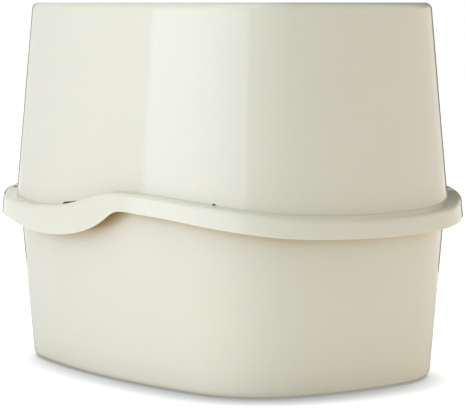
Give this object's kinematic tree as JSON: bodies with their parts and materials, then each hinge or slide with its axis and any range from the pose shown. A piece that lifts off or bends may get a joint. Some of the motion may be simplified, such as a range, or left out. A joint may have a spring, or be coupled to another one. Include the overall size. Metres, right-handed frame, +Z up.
{
  "type": "top entry litter box",
  "caption": "Tall litter box entered from above: a deep flared pan with a wavy rim, a tapering hood seated in it, and a hinged lid with a round entry hole and a paw grate.",
  "frame": {"origin": "on the floor under the middle of the box, in the plane of the four foot pads", "axes": "+Z up; Y along the box, the entry hole towards +Y and the lid's hinge towards -Y; X across, the box the same on both sides of X = 0"},
  "size_m": [0.4044, 0.5401, 0.4],
  "materials": {
    "pan": "satin-gloss moulded polypropylene, warm ivory",
    "hood": "satin-gloss moulded polypropylene, warm ivory",
    "lid": "satin-gloss moulded polypropylene, warm ivory",
    "grate": "satin moulded polypropylene, warm ivory",
    "pins": "plain moulded nylon",
    "feet": "soft grey rubber"
  },
  "bodies": {
    "base": {"base_pan": "pan", "foot_front_left": "feet", "foot_front_right": "feet", "foot_rear_left": "feet", "foot_rear_right": "feet"},
    "hood": {"hood": "hood", "hinge_pin_left": "pins", "hinge_pin_right": "pins"},
    "lid": {"entry_lid": "lid"},
    "grate": {"paw_grate": "grate"}
  },
  "joints": [
    {"name": "hood_lift", "type": "slide", "parent": "base", "child": "hood", "axis": [0, 0, 1], "range_m": [0, 0.16]},
    {"name": "lid_hinge", "type": "hinge", "parent": "hood", "child": "lid", "pos_m": [0, -0.1958, 0.3943], "axis": [1, 0, 0], "range_deg": [0, 98]},
    {"name": "grate_lift", "type": "slide", "parent": "lid", "child": "grate", "axis": [0, 0, 1], "range_m": [0, 0.06]}
  ]
}
